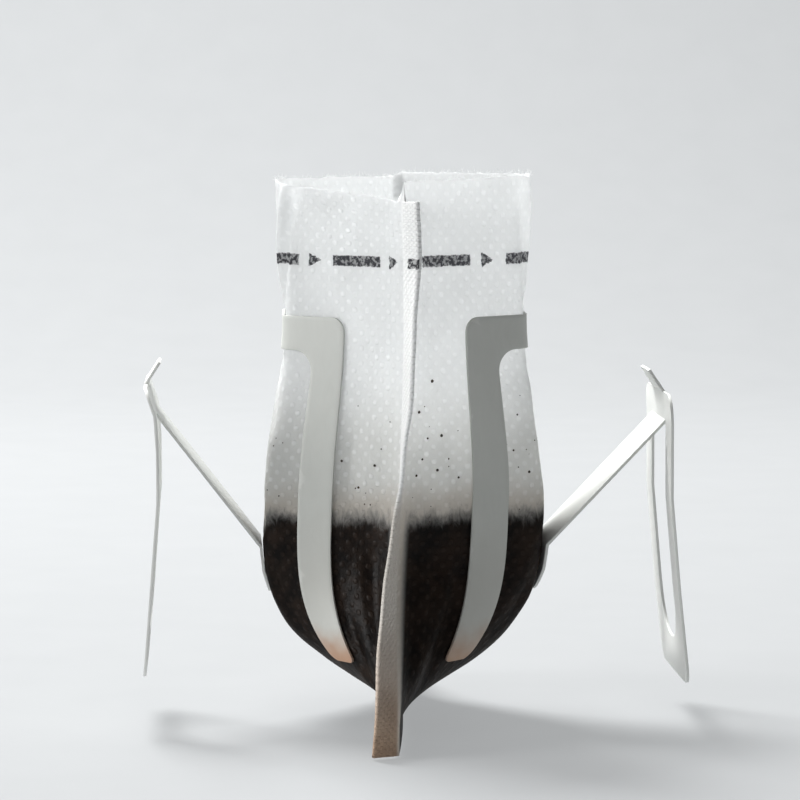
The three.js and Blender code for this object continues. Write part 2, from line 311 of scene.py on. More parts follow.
# Marks on the opened sheet, in millimetres

SHEET_SPAN = 150
SHEET_MIDDLE = 75
RISE_SPAN = 100
RISE_MIDDLE = 50
DOT_PITCH = 2.4
CRIMP_PITCH = 1.1
PRINT_HEIGHT = 30.5
PRINT_PERIOD = 16.5
PRINT_START = {RIGHT: 4.4, LEFT: -15.1}
PRINT_EDGE = 0.1
DASH_LENGTH = 9.6
DASH_HALF_HEIGHT = 0.85
ARROW_START = 11.7
ARROW_LENGTH = 2.4
ARROW_HALF_HEIGHT = 1.15
RAGGED_ACROSS = 0.8
RAGGED_RISE = 0.55
DAMP_BAND = (-3, 15)
SOAK_BAND = (-12.4, -8.8)
SOAK_EDGE_BAND = (-11, -3.5)
FIN_STAIN_BAND = (-44, -22)

# Colours of the cloth

DRY_THIN = (0.8, 0.81, 0.81)
DRY_THICK = (0.9, 0.91, 0.91)
DAMP_THIN = (0.6, 0.6, 0.57)
DAMP_THICK = (0.74, 0.74, 0.71)
PRESSED_DOT = (0.97, 0.98, 0.98)
WELDED_SEAM = (0.96, 0.965, 0.96)
# Painted shade: the colour that darkens the pits between the seam crimps
CRIMP_PIT_SHADE = (0.6, 0.6, 0.58)
SOAKED_DARK = (0.004, 0.0025, 0.002)
SOAKED_BROWN = (0.045, 0.027, 0.018)
SOAKED_FIBRE = (0.15, 0.105, 0.08)
SOAKED_DOT = (0.08, 0.055, 0.042)
SOAK_EDGE = (0.5, 0.42, 0.33)
SEAM_STAIN_DARK = (0.2, 0.09, 0.04)
SEAM_STAIN_PALE = (0.56, 0.38, 0.24)
INK = (0.02, 0.02, 0.025)
INK_LIT_THROUGH = (0.1, 0.1, 0.11)
LOOSE_FIBRE_THIN = (0.85, 0.86, 0.86)
LOOSE_FIBRE_THICK = (0.95, 0.95, 0.95)
CLOTH_TRANSLUCENCY = 0.56
SEAM_TRANSLUCENCY_LOSS = 0.42

# Colours of the card, the coffee and the paper behind

# Painted shade: the frames' white card is given a grey well below that of the ears' card
FRAME_CARD_SHADED = ((0.49, 0.5, 0.47), (0.57, 0.58, 0.55))
EAR_CARD = ((0.74, 0.75, 0.72), (0.84, 0.85, 0.82))
CARD_DAMP = (0.5, 0.49, 0.45)
# Painted highlight: the colour that lightens the card's rounded edges
CARD_EDGE_HIGHLIGHT = (0.78, 0.78, 0.75)
CARD_STAIN_DARK = (0.3, 0.12, 0.05)
CARD_STAIN_PALE = (0.5, 0.27, 0.13)
FRAME_STAIN_HEIGHT = FRAME_BOTTOM - 1
EAR_STAIN_HEIGHT = FRAME_BOTTOM - 40
COFFEE_DARK = (0.012, 0.007, 0.004)
COFFEE_BROWN = (0.07, 0.042, 0.026)
PAPER_DARK = (0.195, 0.2, 0.203)
PAPER_PALE = (0.205, 0.21, 0.213)
PAPER_GLOW = 1.72


def staggered_dots(across, rise, pitch):
    """Peaks of one at the points of a staggered lattice, and minus one midway between them."""
    turn = 2 * math.pi / pitch
    return (across * turn).maths("COSINE") * (rise * turn).maths("COSINE")


def printed_line(finish, across, rise, side, ragged):
    """A row of plain dashes, each followed by a small arrowhead."""
    rows = []
    edge = PRINT_EDGE
    off_line = (rise - PRINT_HEIGHT).maths("ABSOLUTE") + (ragged - 0.5) * RAGGED_RISE
    across = across + (ragged - 0.5) * RAGGED_ACROSS
    for start in (PRINT_START[RIGHT], PRINT_START[LEFT]):
        place = (across - start).maths("FLOORED_MODULO", PRINT_PERIOD)
        dash = finish.step(place, -edge, edge)
        dash = dash * (1 - finish.step(place, DASH_LENGTH - edge, DASH_LENGTH + edge))
        dash = dash * (1 - finish.step(off_line, DASH_HALF_HEIGHT - edge, DASH_HALF_HEIGHT + edge))
        along = (place - ARROW_START) / ARROW_LENGTH
        slope = off_line / ARROW_HALF_HEIGHT + along
        arrow = finish.step(along, -0.04, 0.04) * (1 - finish.step(slope, 0.93, 1.03))
        rows.append(dash.maths("MAXIMUM", arrow))
    on_right = finish.step(side, -0.2, 0.2)
    return rows[0] * on_right + rows[1] * (1 - on_right)


def filter_cloth():
    finish = Finish("filter_cloth")
    cloth_map = finish.node("ShaderNodeUVMap", {"uv_map": "cloth"}, {})
    place = finish.object_place()
    map_across, map_rise, _ = finish.parts_of(cloth_map)
    across = map_across * SHEET_SPAN - SHEET_MIDDLE
    rise = map_rise * RISE_SPAN - RISE_MIDDLE
    fin = finish.own("fin")
    inside = finish.own("inside")
    side = finish.own("side")

    # Fibres, clouds and grain
    fibre_place = finish.stretched(place, (900, 900, 420))
    fibres = finish.noise(fibre_place, 1, detail=5, roughness=0.65, distortion=1.2)
    clouds = finish.noise(place, 230, detail=4, roughness=0.6)
    blotches = finish.noise(place, 85, detail=3, roughness=0.6)
    grain = finish.noise(place, 2600, detail=2, roughness=0.6)

    # Dots pressed into the faces, and crimps along the seams with painted shade in their pits
    on_crimps = finish.step(fin, 0.05, 0.2)
    dots = staggered_dots(across, rise, DOT_PITCH)
    dot = finish.step(dots, 0.2, 0.85) * (1 - finish.step(fin, 0.01, 0.12))
    dot = dot * (0.55 + 0.45 * finish.step(clouds, 0.38, 0.6))
    crimps = staggered_dots(fin * SEAM_WIDTH, rise, CRIMP_PITCH)
    crimp = finish.step(crimps, -0.2, 0.7) * on_crimps
    # Painted shade in the pits between the crimps
    pit_shade = (1 - crimp) * on_crimps * (1 - finish.step(fin, 0.9, 1))

    # Damp and soaked cloth, and the stain on the seams
    on_seam = finish.step(fin, 0, 0.1)
    off_middle = (across.maths("ABSOLUTE") - FACE_HALF).maths("ABSOLUTE")
    middle_drop = 1 - finish.step(off_middle, 2, 9)
    level = rise + ((blotches - 0.5) * 9 + (clouds - 0.5) * 4)
    damp = 1 - finish.step(level, *DAMP_BAND)
    soak_level = rise + (blotches - 0.5) * 5 + (clouds - 0.5) * 3 + middle_drop * 1.6
    soaked = 1 - finish.step(soak_level + (fibres - 0.5) * 3, *SOAK_BAND)
    soaked = soaked * finish.step(across.maths("ABSOLUTE"), 0.4, 2.2) * (1 - on_seam)
    soak_edge = (1 - finish.step(soak_level, *SOAK_EDGE_BAND)) * (1 - soaked)
    seam_stain = (1 - finish.step(level, *FIN_STAIN_BAND)) * on_seam

    # Printed row
    ragged = finish.noise(place, 1300, detail=2, roughness=0.6)
    ink = printed_line(finish, across, rise, side, ragged)
    worn = finish.step(finish.noise(place, 1700, detail=2, roughness=0.6), 0.4, 0.56)
    print_share = ink * (0.5 + 0.48 * worn) * (1 - inside * 0.75)

    # Colour, from the dry cloth up to the print
    welded = finish.step(fin, 0, 0.15)
    dry = finish.mix(fibres, DRY_THIN, DRY_THICK)
    toned = finish.mix(damp * 0.6, dry, finish.mix(fibres, DAMP_THIN, DAMP_THICK))
    toned = finish.mix(dot * 0.55 * (1 - soaked), toned, PRESSED_DOT)
    toned = finish.mix(welded, toned, WELDED_SEAM)
    # Painted shade: darkens the crimps' pits
    toned = finish.mix(pit_shade * 0.16, toned, CRIMP_PIT_SHADE)
    coffee = finish.mix(finish.step(clouds, 0.3, 0.75), SOAKED_DARK, SOAKED_BROWN)
    coffee = finish.mix(finish.step(fibres, 0.6, 0.8) * 0.3, coffee, SOAKED_FIBRE)
    coffee = finish.mix(dot * 0.3, coffee, SOAKED_DOT)
    toned = finish.mix(soak_edge * 0.55, toned, SOAK_EDGE)
    toned = finish.mix(soaked, toned, coffee)
    stain_tone = finish.mix(clouds, SEAM_STAIN_DARK, SEAM_STAIN_PALE)
    toned = finish.mix(seam_stain * 0.85, toned, stain_tone)
    toned = finish.mix(print_share, toned, INK)

    glow = finish.mix(soaked, finish.mix(0.35, toned, (1, 1, 1)), coffee)
    glow = finish.mix(print_share, glow, INK_LIT_THROUGH)
    height = fibres * 0.5 + grain * 0.12 + dot * 0.55 + crimp * 0.9 - clouds * 0.25
    return finish.surface(
        CLOTH_TRANSLUCENCY - SEAM_TRANSLUCENCY_LOSS * welded,
        glow,
        Base_Color=toned,
        Roughness=0.88 - damp * 0.12 - soaked * 0.34 + (grain - 0.5) * 0.14,
        Normal=finish.bump(height, strength=0.7, distance=0.22 * MM),
        Specular_IOR_Level=0.22,
    )


def loose_fibre():
    finish = Finish("loose_fibre")
    tone = finish.mix(finish.noise(finish.object_place(), 500), LOOSE_FIBRE_THIN, LOOSE_FIBRE_THICK)
    return finish.surface(0.4, tone, Base_Color=tone, Roughness=0.8)


def card(name, stain_height, colours):
    """Card that darkens where it is damp, down to a brown stain below a height in millimetres."""
    finish = Finish(name)
    place = finish.object_place()
    _, _, rise = finish.parts_of(place)
    rise = rise * 1000
    fibre_place = finish.stretched(place, (700, 700, 260))
    fibres = finish.noise(fibre_place, 1, detail=4, roughness=0.6, distortion=0.8)
    mottle = finish.noise(place, 160, detail=3, roughness=0.55)
    grain = finish.noise(place, 3000, detail=2, roughness=0.6)
    tone = finish.mix(fibres * 0.6 + mottle * 0.4, *colours)
    damp_level = rise + (mottle - 0.5) * 8
    damp = (1 - finish.step(damp_level, stain_height + 10, stain_height + 28)) * 0.35
    tone = finish.mix(damp, tone, CARD_DAMP)
    stain_level = rise + (mottle - 0.5) * 7
    stain = 1 - finish.step(stain_level, stain_height, stain_height + 8)
    tone = finish.mix(stain * 0.85, tone, finish.mix(mottle, CARD_STAIN_DARK, CARD_STAIN_PALE))
    # Painted highlight: lightens the card where its rounded edges stand out
    edge = finish.node("ShaderNodeNewGeometry", {}, {}, "Pointiness")
    tone = finish.mix(finish.step(edge, 0.52, 0.6) * 0.25, tone, CARD_EDGE_HIGHLIGHT)
    height = fibres * 0.5 + grain * 0.3 + mottle * 0.4
    return finish.surface(
        Base_Color=tone,
        Roughness=0.5 + (fibres - 0.5) * 0.16 - damp * 0.25,
        Normal=finish.bump(height, strength=0.35, distance=0.12 * MM),
        Specular_IOR_Level=0.4,
    )


def wet_coffee():
    finish = Finish("wet_coffee")
    place = finish.object_place()
    lumps = finish.noise(place, 900, detail=4, roughness=0.65)
    grain = finish.noise(place, 3500, detail=3, roughness=0.7)
    shine = finish.noise(place, 400, detail=2, roughness=0.5)
    tone = finish.mix(finish.step(lumps, 0.35, 0.7), COFFEE_DARK, COFFEE_BROWN)
    tone = finish.mix(grain * 0.3, tone, COFFEE_BROWN)
    return finish.surface(
        Base_Color=tone,
        Roughness=0.34 + shine * 0.35,
        Normal=finish.bump(lumps * 0.6 + grain * 0.4, strength=0.8, distance=0.35 * MM),
    )


def studio_paper():
    finish = Finish("studio_paper")
    grain = finish.noise(finish.object_place(), 60, detail=3, roughness=0.5)
    tone = finish.mix(grain, PAPER_DARK, PAPER_PALE)
    return finish.surface(
        Base_Color=tone,
        Roughness=0.9,
        Specular_IOR_Level=0.1,
        Emission_Color=tone,
        Emission_Strength=PAPER_GLOW,
    )


# Shape of the opened pouch

ARC_STEPS = 66
TABLE_STEP = 0.25
TABLE_HEIGHTS = np.arange(POUCH_BOTTOM - 2, POUCH_TOP + 3, TABLE_STEP)
ANGLE_HALVINGS = 30
NORMAL_REACH = 0.25


def ease(share):
    return (1 - np.cos(np.pi * np.clip(share, 0, 1))) / 2


def smooth(value, low, high):
    share = np.clip((value - low) / (high - low), 0, 1)
    return share * share * (3 - 2 * share)


def half_opening(height):
    """Half the pouch's width from its left face to its right face, at a height."""
    rise = np.clip((height - SEAL_TOP) / (BELLY_HEIGHT - SEAL_TOP), 0, 1)
    belly = SEAM_HALF + (BELLY_HALF_WIDTH - SEAM_HALF) * (1 - (1 - rise) ** BELLY_FULLNESS)
    waist_share = ease((height - BELLY_HEIGHT) / (WAIST_HEIGHT - BELLY_HEIGHT))
    waist = BELLY_HALF_WIDTH + (WAIST_HALF_WIDTH - BELLY_HALF_WIDTH) * waist_share
    mouth_share = ease((height - WAIST_HEIGHT) / (POUCH_TOP - WAIST_HEIGHT))
    mouth = WAIST_HALF_WIDTH + (MOUTH_HALF_WIDTH - WAIST_HALF_WIDTH) * mouth_share
    return np.where(height < BELLY_HEIGHT, belly, np.where(height < WAIST_HEIGHT, waist, mouth))


def walk_faces(angle):
    """Walks along a face from its middle to its seam, at every height of the table at once."""
    step = FACE_HALF / ARC_STEPS
    arcs = (np.arange(ARC_STEPS) + 0.5) * step
    bow_share = ease((TABLE_HEIGHTS - WAIST_HEIGHT) / (POUCH_TOP - WAIST_HEIGHT))
    bow = np.minimum(math.radians(MOUTH_BOW) * bow_share, angle)
    sharper = MOUTH_CREASE * bow_share[:, None]
    corner = smooth(arcs, FLAT_MIDDLE + sharper, CORNER_END - sharper)
    pinch = SEAM_PINCH * smooth(arcs, FACE_HALF - SEAM_PINCH_WIDTH, FACE_HALF)
    middle = bow[:, None] * np.minimum(arcs / FLAT_MIDDLE, 1) * (1 - corner)
    slope = middle + angle[:, None] * corner * (1 - pinch)
    start = np.zeros((len(angle), 1))
    across = np.hstack([start, np.cumsum(np.sin(slope) * step, axis=1)])
    along = np.hstack([start, np.cumsum(np.cos(slope) * step, axis=1)])
    return across, along


def face_table():
    """Finds the angle that closes the two faces at their seams, at every height."""
    target = half_opening(TABLE_HEIGHTS) - SEAM_HALF
    low = np.zeros(len(TABLE_HEIGHTS))
    high = np.full(len(TABLE_HEIGHTS), math.pi / 2)
    for _ in range(ANGLE_HALVINGS):
        angle = (low + high) / 2
        short = walk_faces(angle)[0][:, -1] < target
        low = np.where(short, angle, low)
        high = np.where(short, high, angle)
    return walk_faces((low + high) / 2)


ACROSS_TABLE, ALONG_TABLE = face_table()


def look_up(table, arcs, heights):
    row = np.clip((heights - TABLE_HEIGHTS[0]) / TABLE_STEP, 0, len(TABLE_HEIGHTS) - 1.001)
    column = np.clip(np.abs(arcs) / FACE_HALF * ARC_STEPS, 0, ARC_STEPS - 0.001)
    row_index = row.astype(int)
    column_index = column.astype(int)
    row_share = row - row_index
    column_share = column - column_index
    upper = table[row_index + 1, column_index] * (1 - column_share)
    upper = upper + table[row_index + 1, column_index + 1] * column_share
    lower = table[row_index, column_index] * (1 - column_share)
    lower = lower + table[row_index, column_index + 1] * column_share
    return lower * (1 - row_share) + upper * row_share


def seam_lean(arcs, heights):
    """How far the near seam, and less of the faces beside it, leans to one side."""
    depth_share = (1 + arcs / FACE_HALF) / 2
    drop_share = ease((POUCH_TOP - heights) / POUCH_HEIGHT)
    shift = SEAM_SHIFT * np.clip((heights - SHIFT_START) / SHIFT_RISE, 0, 1)
    return (NEAR_SEAM_LEAN * drop_share + shift) * depth_share ** 2


def cloth_points(side, arcs, heights):
    """Points on a face, from the distance along it out of its middle, positive on the near half."""
    across = look_up(ACROSS_TABLE, arcs, heights)
    along = look_up(ALONG_TABLE, arcs, heights)
    x = side * (half_opening(heights) - across) + seam_lean(arcs, heights)
    return np.stack([x, -np.sign(arcs) * along, heights], axis=-1)


def offset_points(side, arcs, heights, distance):
    """Points on a face of the pouch, moved out along its normal by a distance."""
    arcs, heights, distance = np.broadcast_arrays(
        np.asarray(arcs, float), np.asarray(heights, float), np.asarray(distance, float),
    )
    reach = NORMAL_REACH
    inner = np.maximum(arcs - reach, -FACE_HALF)
    outer = np.minimum(arcs + reach, FACE_HALF)
    along_arc = cloth_points(side, outer, heights) - cloth_points(side, inner, heights)
    along_rise = cloth_points(side, arcs, heights + reach) - cloth_points(side, arcs, heights - reach)
    normal = np.cross(along_rise, along_arc) * side
    normal = normal / np.linalg.norm(normal, axis=-1, keepdims=True)
    return cloth_points(side, arcs, heights) + normal * distance[..., None]


# Folds and creases of the cloth

# Each crease runs between two places on the opened sheet, as across and height, with its width and
# depth. Across counts from the near seam: the left face is negative and the right face positive.
CREASES = [
    ((-21, 44), (-30, 20), 1.5, 0.9),
    ((-24, 44), (-33, 24), 2.0, -0.6),
    ((-33, 14), (-24, 2), 2.2, 0.5),
    ((-9, 44), (-12, 26), 2.4, 0.4),
    ((-5, 26), (-7, -8), 2.2, -0.45),
    ((-11, 8), (-9, -11), 2.4, 0.4),
    ((-30, -8), (-21, -30), 2.4, 0.7),
    ((-14, -16), (-10, -38), 1.8, 0.7),
    ((-5, -14), (-5, -36), 1.6, 0.5),
    ((29, 44), (31, 22), 1.8, -0.6),
    ((24, 44), (27, 25), 2.2, 0.45),
    ((8, 40), (7, 12), 3.0, 0.35),
    ((5, 12), (8, -10), 2.0, -0.4),
    ((30, 12), (25, -6), 2.4, 0.5),
    ((10, 2), (12, -12), 2.2, 0.4),
    ((31, -8), (22, -31), 2.4, 0.7),
    ((13, -14), (10, -38), 1.8, 0.75),
    ((5, -16), (6, -36), 1.6, -0.4),
    ((-45, 43), (-40, 10), 2.6, 0.6),
    ((-56, 30), (-52, -6), 2.8, 0.6),
    ((-48, -10), (-54, -36), 2.2, 0.8),
    ((46, 40), (42, 8), 2.6, 0.6),
    ((57, 34), (53, -4), 2.8, 0.55),
    ((47, -10), (54, -37), 2.2, 0.8),
]
CREASE_START = (-0.1, 0.3)
CREASE_END = (0.7, 1.1)
BESIDE_CREASE = 1.6
BESIDE_CREASE_SHARE = 0.5
CRUMPLE_DEPTH = 0.2
CRUMPLE_SIZE = 7.5
CRUMPLE_SEED = 3.1
FINE_CRUMPLE_SIZE = CRUMPLE_SIZE / 3
FINE_CRUMPLE_SHARE = 0.45
FINE_CRUMPLE_SEED = 8.7
COVER_MARGIN = 2.2
COVER_BELOW_BAR = 2
COVER_ABOVE_STRAP = 1
SEAM_CALM = 5
SEAL_CALM = 4


def sheet_place(side, arcs):
    """Across the opened sheet from the near seam, negative on the left face."""
    return side * (FACE_HALF - arcs)


def above(value, low, margin):
    return smooth(value, low - margin, low)


def below(value, high, margin):
    return 1 - smooth(value, high, high + margin)


def card_cover(arcs, heights):
    """One where card lies against the cloth, falling to nothing beside it, and the straps' share."""
    size = np.abs(arcs)
    margin = COVER_MARGIN
    within_frame = below(size, FRAME_HALF, margin)
    under_top = below(heights, FRAME_TOP, margin)
    legs = above(size, WINDOW_HALF, margin) * within_frame
    legs = legs * (above(heights, FRAME_BOTTOM, margin) * under_top)
    bar_low = FRAME_TOP - FRAME_BAR_HEIGHT - COVER_BELOW_BAR
    bar = above(heights, bar_low, margin) * under_top * within_frame
    strap = above(heights, STRAP_GLUE_TOP - STRAP_GLUE_LENGTH, 3 * margin)
    strap_top = STRAP_GLUE_TOP + COVER_ABOVE_STRAP
    strap = strap * (1 - smooth(heights, strap_top, STRAP_GLUE_TOP + 2 * margin))
    strap = strap * below(size, STRAP_HALF_WIDTH, margin)
    return np.maximum(np.maximum(legs, bar), strap), strap


def crumple(across, heights, size, seed):
    """Smooth random values between about minus one and one, over a place on the sheet."""
    values = [
        noise.noise(Vector((a / size, b / size, seed)))
        for a, b in zip(np.ravel(across), np.ravel(heights))
    ]
    return np.reshape(values, np.shape(across))


def wrinkle(side, arcs, heights):
    """How far the cloth stands out from its plain shape."""
    across = sheet_place(side, arcs)
    depth = CRUMPLE_DEPTH * crumple(across, heights, CRUMPLE_SIZE, CRUMPLE_SEED)
    fine = crumple(across, heights, FINE_CRUMPLE_SIZE, FINE_CRUMPLE_SEED)
    depth = depth + CRUMPLE_DEPTH * FINE_CRUMPLE_SHARE * fine
    for (from_across, from_height), (to_across, to_height), width, fall in CREASES:
        run = np.array([to_across - from_across, to_height - from_height], float)
        length = np.hypot(*run)
        run = run / length
        along = (across - from_across) * run[0] + (heights - from_height) * run[1]
        beside = (across - from_across) * run[1] - (heights - from_height) * run[0]
        fade = smooth(along, length * CREASE_START[0], length * CREASE_START[1])
        fade = fade * (1 - smooth(along, length * CREASE_END[0], length * CREASE_END[1]))
        ridge = np.exp(-(beside / width) ** 2)
        ridge = ridge - BESIDE_CREASE_SHARE * np.exp(-((beside - width * BESIDE_CREASE) / width) ** 2)
        depth = depth - fall * fade * ridge
    seams = smooth(FACE_HALF - np.abs(arcs), 0, SEAM_CALM)
    seal = smooth(heights, SEAL_TOP, SEAL_TOP + SEAL_CALM)
    covered, strap = card_cover(arcs, heights)
    return depth * (1 - covered) * seams * seal + STRAP_BULGE * strap


# Meshes

SHARP_ANGLE = 45
FLAT_ANGLE = 1
MERGE_DISTANCE = 0.002 * MM


def mesh_object(name, points, faces):
    """A mesh in metres from points in millimetres."""
    mesh = bpy.data.meshes.new(name)
    mesh.from_pydata((np.asarray(points) * MM).tolist(), [], [list(map(int, face)) for face in faces])
    mesh.update()
    piece = bpy.data.objects.new(name, mesh)
    bpy.context.scene.collection.objects.link(piece)
    return piece


def new_piece(name, points, faces, material):
    """A smooth mesh with its faces turned outwards."""
    piece = mesh_object(name, points, faces)
    mesh = piece.data
    mesh.materials.append(material)
    work = bmesh.new()
    work.from_mesh(mesh)
    bmesh.ops.recalc_face_normals(work, faces=work.faces)
    work.to_mesh(mesh)
    work.free()
    mesh.shade_smooth()
    return piece


def tube_faces(base, levels, count, inward=False):
    """Faces between the rings of a tube, whose points are numbered from a base."""
    faces = []
    for level in range(levels - 1):
        for i in range(count):
            a = base + level * count + i
            b = base + level * count + (i + 1) % count
            if inward:
                faces.append((a, a + count, b + count, b))
            else:
                faces.append((a, b, b + count, a + count))
    return faces


def tube_ends(levels, count):
    last = (levels - 1) * count
    return [tuple(range(count)), tuple(last + i for i in reversed(range(count)))]


def add_values(piece, name, values):
    attribute = piece.data.attributes.new(name, "FLOAT", "POINT")
    attribute.data.foreach_set("value", np.asarray(values, dtype=np.float32))


def add_cloth_map(piece, across, rise):
    layer = piece.data.uv_layers.new(name="cloth")
    corners = np.zeros(len(piece.data.loops), dtype=int)
    piece.data.loops.foreach_get("vertex_index", corners)
    places = np.stack([(across + SHEET_MIDDLE) / SHEET_SPAN, (rise + RISE_MIDDLE) / RISE_SPAN], axis=1)
    layer.data.foreach_set("uv", places[corners].astype(np.float32).ravel())


def applied(piece):
    """Turns a piece with its modifiers into a plain mesh."""
    graph = bpy.context.evaluated_depsgraph_get()
    mesh = bpy.data.meshes.new_from_object(piece.evaluated_get(graph))
    piece.modifiers.clear()
    old = piece.data
    piece.data = mesh
    bpy.data.meshes.remove(old)
    mesh.name = piece.name
    return piece


def round_edges(piece, width):
    bevel = piece.modifiers.new("rounded", "BEVEL")
    bevel.width = width * MM
    bevel.segments = 2
    bevel.limit_method = "ANGLE"
    bevel.angle_limit = math.radians(SHARP_ANGLE)
    return applied(piece)


def joined(piece, others):
    """Adds the other pieces' meshes to a piece."""
    with bpy.context.temp_override(active_object=piece, selected_editable_objects=[piece, *others]):
        bpy.ops.object.join()
    return piece


# Filter pouch

LEVEL_STEP = 0.8
FACE_POINTS = 95
FIN_POINTS = 6
SEAL_LEVELS = 6
TEAR_LEVELS = 6
FINE_TEAR_BAND = 2
RAGGED_SEED = 5.5
FRAYED_SEED = 2.5
NEAR_WAVE_SEED = 1.7
FAR_WAVE_SEED = 6.3
AROUND = 2 * FACE_POINTS + 4 * FIN_POINTS
INNER_AROUND = 2 * FACE_POINTS


def torn_drop(side, arcs, heights):
    """How far the torn edge and the cloth just under it lie below the plain top."""
    share = np.clip((heights - POUCH_TOP + TEAR_BAND) / TEAR_BAND, 0, 1)
    near_share = np.maximum(arcs / FACE_HALF, 0)
    dip = TEAR_DIP * near_share if side == LEFT else -TEAR_TILT * (1 - near_share)
    close = smooth(heights, POUCH_TOP - RAGGED_BAND, POUCH_TOP)
    across = sheet_place(side, arcs)
    ragged = crumple(across, across * 0, RAGGED_SIZE, RAGGED_SEED)
    ragged = ragged + FRAYED_SHARE * crumple(across, across * 0, FRAYED_SIZE, FRAYED_SEED)
    return dip * share + TEAR_ROUGHNESS * ragged * close


def fin_direction(heights, near):
    """The way out along a seam's fin and the way across it, turning with the drop from the top."""
    top_turn, foot_turn = NEAR_FIN_TURN if near else FAR_FIN_TURN
    power = NEAR_FIN_POWER if near else FAR_FIN_POWER
    share = ((POUCH_TOP - heights) / POUCH_HEIGHT) ** power
    turn = np.radians(top_turn + (foot_turn - top_turn) * share)
    toward = -1 if near else 1
    out = np.stack([np.sin(turn), toward * np.cos(turn), 0 * turn], axis=-1)
    beside = np.stack([np.cos(turn), -toward * np.sin(turn), 0 * turn], axis=-1)
    return out, beside


def fin_strip(side, heights, near):
    """Points across a seam's fin, from beside its root to its tip, for every height."""
    end = FACE_HALF if near else -FACE_HALF
    ends = np.full(len(heights), end)
    root = (cloth_points(RIGHT, ends, heights) + cloth_points(LEFT, ends, heights)) / 2
    out, beside = fin_direction(heights, near)
    seed = NEAR_WAVE_SEED if near else FAR_WAVE_SEED
    wave = FIN_WAVE * crumple(heights, heights * 0, FIN_WAVE_SIZE, seed)
    torn = np.clip((heights - POUCH_TOP + TEAR_BAND) / TEAR_BAND, 0, 1)
    drop = TEAR_DIP * torn if near else 0 * heights
    points = []
    for i in range(1, FIN_POINTS + 1):
        share = i / FIN_POINTS
        place = root + out * (SEAM_WIDTH * share)
        sway = wave * share ** FIN_WAVE_POWER + side * FIN_HALF_THICKNESS
        place = place + beside * sway[:, None]
        place[:, 2] -= drop
        points.append(place)
    return np.stack(points, axis=1)


def face_grid(side, arcs, heights, distance):
    arc_grid, height_grid = np.meshgrid(arcs, heights)
    lift = distance + wrinkle(side, arc_grid, height_grid)
    points = offset_points(side, arc_grid, height_grid, lift)
    points[..., 2] -= torn_drop(side, arc_grid, height_grid)
    return points


def outer_rings(arcs, heights):
    """Rings round the right face, the far fin, the left face and the near fin."""
    return np.concatenate([
        face_grid(RIGHT, arcs, heights, CLOTH_HALF_THICKNESS),
        fin_strip(RIGHT, heights, False),
        fin_strip(LEFT, heights, False)[:, ::-1],
        face_grid(LEFT, -arcs, heights, CLOTH_HALF_THICKNESS),
        fin_strip(LEFT, heights, True),
        fin_strip(RIGHT, heights, True)[:, ::-1],
    ], axis=1)


def inner_rings(arcs, heights):
    return np.concatenate([
        face_grid(RIGHT, arcs, heights, -CLOTH_HALF_THICKNESS),
        face_grid(LEFT, -arcs, heights, -CLOTH_HALF_THICKNESS),
    ], axis=1)


def sheet_columns(arcs):
    """The place on the sheet, the fin share and the side of each column of an outer ring."""
    shares = np.arange(1, FIN_POINTS + 1) / FIN_POINTS
    fin = shares * SEAM_WIDTH
    blocks = [
        (sheet_place(RIGHT, arcs), 0 * arcs, RIGHT),
        (2 * FACE_HALF + fin, shares, RIGHT),
        (-2 * FACE_HALF - fin[::-1], shares[::-1], LEFT),
        (sheet_place(LEFT, -arcs), 0 * arcs, LEFT),
        (fin, shares, LEFT),
        (-fin[::-1], shares[::-1], RIGHT),
    ]
    across = np.concatenate([block[0] for block in blocks])
    fins = np.concatenate([block[1] for block in blocks])
    sides = np.concatenate([np.full(len(block[0]), block[2]) for block in blocks])
    return across, fins, sides


def pouch_faces(levels, inner_levels):
    """The outer and inner walls, the torn edge, the bottom and the ends of the fins."""
    base = levels * AROUND
    faces = tube_faces(0, levels, AROUND)
    faces += tube_faces(base, inner_levels, INNER_AROUND, inward=True)
    left_start = FACE_POINTS + 2 * FIN_POINTS
    top = base - AROUND
    inner_top = base + (inner_levels - 1) * INNER_AROUND
    for i in range(FACE_POINTS - 1):
        faces.append((top + i, top + i + 1, inner_top + i + 1, inner_top + i))
        outer_left = top + left_start + i
        inner_left = inner_top + FACE_POINTS + i
        faces.append((outer_left, outer_left + 1, inner_left + 1, inner_left))
        opposite = left_start + FACE_POINTS - 1 - i
        faces.append((i, i + 1, opposite - 1, opposite))
        inner_opposite = base + INNER_AROUND - 1 - i
        faces.append((base + i, inner_opposite, inner_opposite - 1, base + i + 1))
    far = list(range(FACE_POINTS - 1, left_start + 1))
    near = list(range(left_start + FACE_POINTS - 1, AROUND)) + [0]
    for fin in (far, near):
        for i in range(FIN_POINTS):
            quad = (fin[i], fin[i + 1], fin[-2 - i], fin[-1 - i])
            faces.append(quad)
            faces.append(tuple(top + corner for corner in reversed(quad)))
    faces.append((top + far[0], top + far[-1], inner_top + FACE_POINTS, inner_top + FACE_POINTS - 1))
    faces.append((top + near[0], top, inner_top, inner_top + INNER_AROUND - 1))
    return faces


